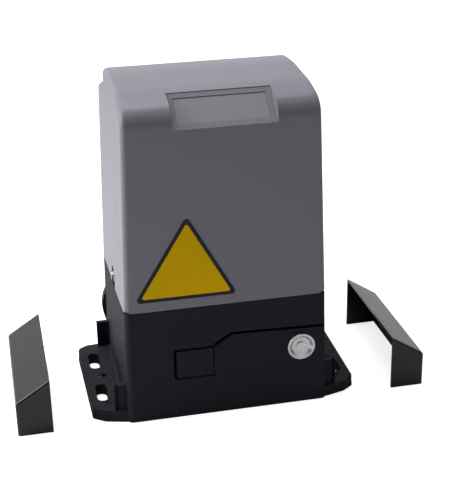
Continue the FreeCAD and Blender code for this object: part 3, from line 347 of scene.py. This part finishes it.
def build_materials():
    """Every finish of the motor, keyed by the record's material slot."""
    tone = colours()
    steel = tuple(tone.steel)
    return {
        "grey_hood": moulded("hood_grey", tone.hood, 0.36, 0.00003, wear=0.0, dust=0.02, coat=0.06,
                             grain_scale=1800.0, speck=0.12, specular=0.35, drift=0.05),
        "black_casting": moulded("casting_black", tone.casting, 0.58, 0.00004, wear=0.0, dust=0.03,
                                 specular=0.06, drift=0.04),
        "black_plastic": moulded("plastic_black", tone.plastic, 0.18, 0.00003, wear=0.0, dust=0.01,
                                 grain_scale=1500.0, specular=0.45),
        "black_rubber": moulded("rubber_black", tone.rubber, 0.62, 0.00006, wear=0.0, dust=0.10),
        "white_plastic": moulded("plastic_white", tone.white, 0.38, 0.00003, wear=0.0),
        "gasket_fibre": moulded("gasket_fibre", tone.gasket, 0.75, 0.00008, wear=0.0),
        "terminal_green": moulded("terminal_green", tone.terminal, 0.35, 0.00002, wear=0.05),
        "label_grey": moulded("plate_grey", tone.plate, 0.40, 0.00002, wear=0.0, dust=0.0,
                              grain_scale=2600.0),
        "label_yellow": moulded("sticker_yellow", tone.sticker, 0.42, 0.00001, wear=0.0, dust=0.0,
                                specular=0.05),
        "label_dark": moulded("sticker_dark", tone.sticker_rim, 0.30, 0.00001, wear=0.0, dust=0.0,
                              specular=0.20),
        "board_green": circuit_film("board_green", tone.board),
        "zinc_steel": metal("steel_zinc", shade(steel, 1.1), 0.34),
        "black_steel": metal("steel_blackened", shade(steel, 0.06), 0.40, wear=0.3),
        "bearing_steel": metal("steel_bearing", steel, 0.24),
        "machined_steel": metal("steel_machined", shade(steel, 0.8), 0.30),
        "spring_steel": metal("steel_spring", shade(steel, 0.7), 0.32, stretch=(900.0, 200.0, 900.0)),
        "cast_aluminium": metal("aluminium_cast", tone.aluminium, 0.52, stretch=(400.0, 400.0, 400.0),
                                depth=0.00010, wear=0.3),
        "lock_chrome": metal("chrome_satin", tone.chrome, 0.24, stretch=(60.0, 300.0, 1500.0), wear=0.2),
        "brass_plug": metal("brass_turned", tone.brass, 0.28),
        "bronze_wheel": metal("bronze_cut", tone.bronze, 0.30),
        "lamination_steel": layered("laminations", tone.lamination, 0.0010, "Z", 0.42, 1.0),
        "copper_winding": layered("winding_copper", tone.copper, 0.0011, "Z", 0.30, 0.9, 0.35),
    }


# ---------------------------------------------------------------- mesh helpers
def prism(outline, front, back):
    """Closed prism: an outline of (x, z) points in mm, reaching from front to back along Y."""
    work = bmesh.new()
    face = work.faces.new([work.verts.new((x * MM, front * MM, z * MM)) for x, z in outline])
    pulled = bmesh.ops.extrude_face_region(work, geom=[face])["geom"]
    moved = [item for item in pulled if isinstance(item, bmesh.types.BMVert)]
    bmesh.ops.translate(work, verts=moved, vec=(0, (back - front) * MM, 0))
    bmesh.ops.recalc_face_normals(work, faces=work.faces)
    return mesh_piece("cutter", work)


def carve(piece, cutters):
    """Cut the cutters out of the piece and throw them away."""
    for cutter in cutters:
        cut = piece.modifiers.new("cut", "BOOLEAN")
        cut.operation = "DIFFERENCE"
        cut.solver = "EXACT"
        cut.object = cutter
    graph = bpy.context.evaluated_depsgraph_get()
    carved = bpy.data.meshes.new_from_object(piece.evaluated_get(graph))
    piece.modifiers.clear()
    piece.data = carved
    for cutter in cutters:
        bpy.data.objects.remove(cutter)


WELD = 0.004 * MM                    # corners closer than this are one
FLAT_ANGLE = math.radians(0.6)       # faces flatter than this to each other are one
ROLL_ANGLE = math.radians(32.0)      # edges sharper than this are rolled over
SHARP_ANGLE = math.radians(60.0)     # edges sharper than this keep a hard shade
EVEN_WEIGHT = 80                     # how far large faces set the shade of their edges


def softened(node, width, cutters=()):
    """Copy of a CAD node whose sharp edges are rolled over, standing in for the node."""
    source = NODES[node]
    piece = bpy.data.objects.new(node + "_finished", source.data.copy())
    bpy.context.scene.collection.objects.link(piece)
    work = bmesh.new()
    work.from_mesh(piece.data)
    bmesh.ops.remove_doubles(work, verts=work.verts, dist=WELD)
    bmesh.ops.dissolve_limit(work, angle_limit=FLAT_ANGLE, verts=work.verts, edges=work.edges)
    work.to_mesh(piece.data)
    work.free()
    if cutters:
        carve(piece, cutters)
    roll = piece.modifiers.new("rolled_edges", "BEVEL")
    roll.width = width
    roll.segments = 2
    roll.limit_method = "ANGLE"
    roll.angle_limit = ROLL_ANGLE
    roll.use_clamp_overlap = True
    roll.harden_normals = False
    piece.data.shade_smooth()
    piece.data.set_sharp_from_angle(angle=SHARP_ANGLE)
    flat = piece.modifiers.new("even_shading", "WEIGHTED_NORMAL")
    flat.keep_sharp = True
    flat.weight = EVEN_WEIGHT
    return piece


def seat(piece, body, mat, replaced=()):
    """Gives a new piece its finish and the body that it rides on."""
    piece.data.materials.clear()
    piece.data.materials.append(mat)
    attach(piece, body)
    for node in replaced:
        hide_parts(node)


def mesh_piece(name, work):
    mesh = bpy.data.meshes.new(name)
    work.to_mesh(mesh)
    work.free()
    piece = bpy.data.objects.new(name, mesh)
    bpy.context.scene.collection.objects.link(piece)
    return piece


MATERIALS = {}


class GATEMOTOR_OT_materials(Operator):
    """Build the shader groups and finishes, and give every CAD node its finish"""
    bl_idname = "gate_motor.materials"
    bl_label = "Finishes"

    def execute(self, context):
        make_grain_group()
        make_wear_group()
        make_dust_group()
        make_brushed_group()
        MATERIALS.update(build_materials())
        for part in frame["record"]["subparts"]:
            mesh = NODES[part["node"]].data
            mesh.materials.clear()
            mesh.materials.append(MATERIALS[part["material_slot"]])
        return {"FINISHED"}


SOFT_EDGED = (
    ("top_cover", "hood", "grey_hood"),
    ("base_housing", "base", "black_casting"),
    ("release_lever", "lever", "black_casting"),
    ("left_bolt_cover", "left_cover", "black_plastic"),
    ("right_bolt_cover", "right_cover", "black_plastic"),
)


MACHINED = (
    ("drive_pinion", "output", "machined_steel"),
    ("worm_wheel", "output", "bronze_wheel"),
    ("clutch_collar", "clutch", "machined_steel"),
    ("shift_fork", "fork", "machined_steel"),
    ("gearbox_lid", "base", "cast_aluminium"),
    ("motor_top_bell", "base", "cast_aluminium"),
    ("capacitor", "base", "white_plastic"),
    ("capacitor_clamp", "base", "zinc_steel"),
    ("transformer", "base", "lamination_steel"),
    ("board_tray", "base", "black_plastic"),
    ("limit_switch_body", "base", "black_plastic"),
    ("relays", "base", "black_plastic"),
    ("terminal_blocks", "base", "terminal_green"),
    ("lock_ring_nut", "lever", "zinc_steel"),
    ("lock_cam", "lock", "zinc_steel"),
)


class GATEMOTOR_OT_internals(Operator):
    """Break the edges of the machined and moulded parts under the hood and behind the housing"""
    bl_idname = "gate_motor.internals"
    bl_label = "Machined parts"

    def execute(self, context):
        for node, body, slot in MACHINED:
            piece = softened(node, sizes().metal_edge)
            seat(piece, body, MATERIALS[slot], (node,))
        return {"FINISHED"}


LEVER_TOP_EDGE = ((-14.2, 75.6), (5.0, 87.6), (100.0, 84.7))      # x, z in mm
HINGE_BLOCK = (-53.8, -14.2, 45.0, 75.6)                           # left, right, bottom, top in mm
HOLLOW_HEIGHT = 4.0
HOLLOW_Y = (-86.3, -79.5)
HINGE_HOLLOW_Y = (-87.8, -84.5)
GROOVE_WIDTH = 1.0
GROOVE_Y = (-92.0, -85.5)
SLOT_HEIGHT = 1.5
SLOT_Y = (-92.0, -80.0)


def rectangle(left, right, bottom, top):
    return [(left, bottom), (right, bottom), (right, top), (left, top)]


def lever_cutters():
    """The lever is hollow behind its face, and a groove sets its hinge block apart."""
    left, right, bottom, top = HINGE_BLOCK
    lower = [(x, z - HOLLOW_HEIGHT) for x, z in LEVER_TOP_EDGE]
    upper = [(x, z + 1.0) for x, z in reversed(LEVER_TOP_EDGE)]
    return [prism(lower + upper, *HOLLOW_Y),
            prism(rectangle(left + 3, right - 1, top - HOLLOW_HEIGHT, top + 1), *HINGE_HOLLOW_Y),
            prism(rectangle(right - GROOVE_WIDTH, right, bottom - 1, top + 1), *GROOVE_Y)]


def base_cutters():
    """Slot under the lever's hinge block."""
    left, right, bottom, top = HINGE_BLOCK
    return [prism(rectangle(left, right, bottom - SLOT_HEIGHT, bottom + 0.5), *SLOT_Y)]


CARVED = {"release_lever": lever_cutters, "base_housing": base_cutters}


class GATEMOTOR_OT_shells(Operator):
    """Roll the sharp edges of the moulded shells and castings"""
    bl_idname = "gate_motor.shells"
    bl_label = "Moulded shells"

    def execute(self, context):
        for node, body, slot in SOFT_EDGED:
            cutters = CARVED[node]() if node in CARVED else ()
            piece = softened(node, sizes().edge, cutters=cutters)
            seat(piece, body, MATERIALS[slot], (node,))
        return {"FINISHED"}


# ---------------------------------------------------------------- studio
VIEW_AZIMUTH = math.radians(12.07)
VIEW_ELEVATION = math.radians(23.31)
VIEW_ROLL = math.radians(-1.14)
VIEW_DISTANCE = 1.25035
VIEW_TARGET = Vector((0.02298, 0.0, 0.14294))
VIEW_LENS = 83.9
ROOM_FRONT = 0.130
ROOM_BACK = 0.90
ROOM_FADE = (-0.25, 0.45)            # from the dark front of the room to its pale back
CEILING = 0.90                       # how pale the ceiling is in reflections
FLOOR_FADE = (-0.80, -0.25)          # Y over which the floor turns pale, in metres
FLOOR_DARK = (0.30, 0.30, 0.31)
FLOOR_PALE = (0.80, 0.80, 0.80)
FLOOR_GLOW = 0.80
OVERHEAD = {"place": (-0.25, 0.30, 1.6), "target": (0, 0, 0.2), "size": (1.4, 1.0), "power": 12.0}
LEFT_SOFTBOX = {"place": (-1.5, 0.15, 0.8), "target": (0, 0, 0.15), "size": (1.2, 1.2), "power": 22.0}


def view_axes():
    """Right, up and backward directions of the camera."""
    az, el, roll = VIEW_AZIMUTH, VIEW_ELEVATION, VIEW_ROLL
    back = Vector((-math.sin(az) * math.cos(el), -math.cos(az) * math.cos(el), math.sin(el)))
    right = (-back).cross(Vector((0, 0, 1))).normalized()
    up = right.cross(-back)
    turned_right = right * math.cos(roll) + up * math.sin(roll)
    turned_up = up * math.cos(roll) - right * math.sin(roll)
    return turned_right, turned_up, back


def area_light(name, place, target, size, power):
    data = bpy.data.lights.new(name, "AREA")
    data.shape = "RECTANGLE"
    data.size, data.size_y = size
    data.energy = power
    lamp = bpy.data.objects.new(name, data)
    lamp.location = place
    lamp.rotation_euler = (Vector(target) - Vector(place)).to_track_quat("-Z", "Y").to_euler()
    bpy.context.scene.collection.objects.link(lamp)
    return lamp


def build_camera():
    right, up, back = view_axes()
    data = bpy.data.cameras.new("camera")
    data.lens = VIEW_LENS
    data.sensor_width = 36.0
    data.clip_end = 50.0
    camera = bpy.data.objects.new("camera", data)
    rotation = Matrix((right, up, back)).transposed().to_4x4()
    camera.matrix_world = Matrix.Translation(VIEW_TARGET + back * VIEW_DISTANCE) @ rotation
    bpy.context.scene.collection.objects.link(camera)
    bpy.context.scene.camera = camera


def build_floor():
    """White table: bright around and behind the motor, falling off towards the front."""
    half = sizes().floor
    work = bmesh.new()
    bmesh.ops.create_grid(work, x_segments=1, y_segments=1, size=half)
    bmesh.ops.translate(work, verts=work.verts, vec=(0, 0, -0.0002))
    floor = mesh_piece("studio_floor", work)
    mat, tree, shader = material("studio_floor")
    split = tree.nodes.new("ShaderNodeSeparateXYZ")
    link(tree, object_coordinates(tree), split.inputs[0])
    near = remap(tree, split.outputs["Y"], *FLOOR_FADE, 0.0, 1.0)
    path = tree.nodes.new("ShaderNodeLightPath")
    seen = path.outputs["Is Camera Ray"]
    mirrored = maths(tree, "MULTIPLY", path.outputs["Is Glossy Ray"], maths(tree, "SUBTRACT", 1.0, near))
    pale = mix_colour(tree, near, FLOOR_DARK, FLOOR_PALE)
    link(tree, mix_colour(tree, seen, pale, FLOOR_PALE), shader.inputs["Base Color"])
    shader.inputs["Roughness"].default_value = 0.9
    shader.inputs["Specular IOR Level"].default_value = 0.1
    glow = tree.nodes.new("ShaderNodeEmission")
    glow.inputs["Color"].default_value = (1.0, 1.0, 1.0, 1.0)
    shown = maths(tree, "MAXIMUM", seen, mirrored)
    link(tree, maths(tree, "MULTIPLY", shown, FLOOR_GLOW), glow.inputs["Strength"])
    total = tree.nodes.new("ShaderNodeAddShader")
    link(tree, shader.outputs[0], total.inputs[0])
    link(tree, glow.outputs[0], total.inputs[1])
    link(tree, total.outputs[0], tree.nodes["Material Output"].inputs["Surface"])
    floor.data.materials.append(mat)


def build_world():
    """Pale sweep behind and above the motor, dark room in front of it."""
    world = bpy.data.worlds.new("studio")
    world.use_nodes = True
    bpy.context.scene.world = world
    tree = world.node_tree
    room = tree.nodes["Background"]
    room.inputs["Color"].default_value = (0.88, 0.88, 0.92, 1.0)
    split = tree.nodes.new("ShaderNodeSeparateXYZ")
    link(tree, tree.nodes.new("ShaderNodeTexCoord").outputs["Generated"], split.inputs[0])
    path = tree.nodes.new("ShaderNodeLightPath")
    ceiling = maths(tree, "MULTIPLY", path.outputs["Is Glossy Ray"], split.outputs["Z"])
    depth = maths(tree, "ADD", split.outputs["Y"], maths(tree, "MULTIPLY", ceiling, CEILING))
    link(tree, remap(tree, depth, *ROOM_FADE, ROOM_FRONT, ROOM_BACK), room.inputs["Strength"])
    white = tree.nodes.new("ShaderNodeBackground")
    white.inputs["Color"].default_value = (1.0, 1.0, 1.0, 1.0)
    mix = tree.nodes.new("ShaderNodeMixShader")
    link(tree, path.outputs["Is Camera Ray"], mix.inputs["Fac"])
    link(tree, room.outputs[0], mix.inputs[1])
    link(tree, white.outputs[0], mix.inputs[2])
    link(tree, mix.outputs[0], tree.nodes["World Output"].inputs["Surface"])


class GATEMOTOR_OT_studio(Operator):
    """Set up the pale floor, the soft lights and the camera"""
    bl_idname = "gate_motor.studio"
    bl_label = "Studio"

    def execute(self, context):
        build_floor()
        build_world()
        area_light("overhead", **OVERHEAD)
        area_light("left_softbox", **LEFT_SOFTBOX)
        build_camera()
        context.scene.view_settings.view_transform = "Standard"
        return {"FINISHED"}


class GATEMOTOR_PT_panel(Panel):
    """Sidebar panel with the steps that dress the gate motor"""
    bl_idname = "GATEMOTOR_PT_panel"
    bl_label = "Gate Motor"
    bl_space_type = "VIEW_3D"
    bl_region_type = "UI"
    bl_category = "Gate Motor"

    def draw(self, context):
        for step in STEPS:
            self.layout.operator(step.bl_idname)
        for group in (context.scene.gate_motor_colours, context.scene.gate_motor_sizes):
            for name in group.__annotations__:
                self.layout.prop(group, name)


STEPS = (GATEMOTOR_OT_materials, GATEMOTOR_OT_shells, GATEMOTOR_OT_internals,
         GATEMOTOR_OT_studio)
CLASSES = (GateMotorColours, GateMotorSizes, *STEPS, GATEMOTOR_PT_panel)


def register():
    for cls in CLASSES:
        bpy.utils.register_class(cls)
    bpy.types.Scene.gate_motor_colours = PointerProperty(type=GateMotorColours)
    bpy.types.Scene.gate_motor_sizes = PointerProperty(type=GateMotorSizes)


def unregister():
    del bpy.types.Scene.gate_motor_colours
    del bpy.types.Scene.gate_motor_sizes
    for cls in reversed(CLASSES):
        bpy.utils.unregister_class(cls)


def main():
    register()
    bpy.ops.gate_motor.materials()
    bpy.ops.gate_motor.shells()
    bpy.ops.gate_motor.internals()
    bpy.ops.gate_motor.studio()


if __name__ == "__main__":
    main()
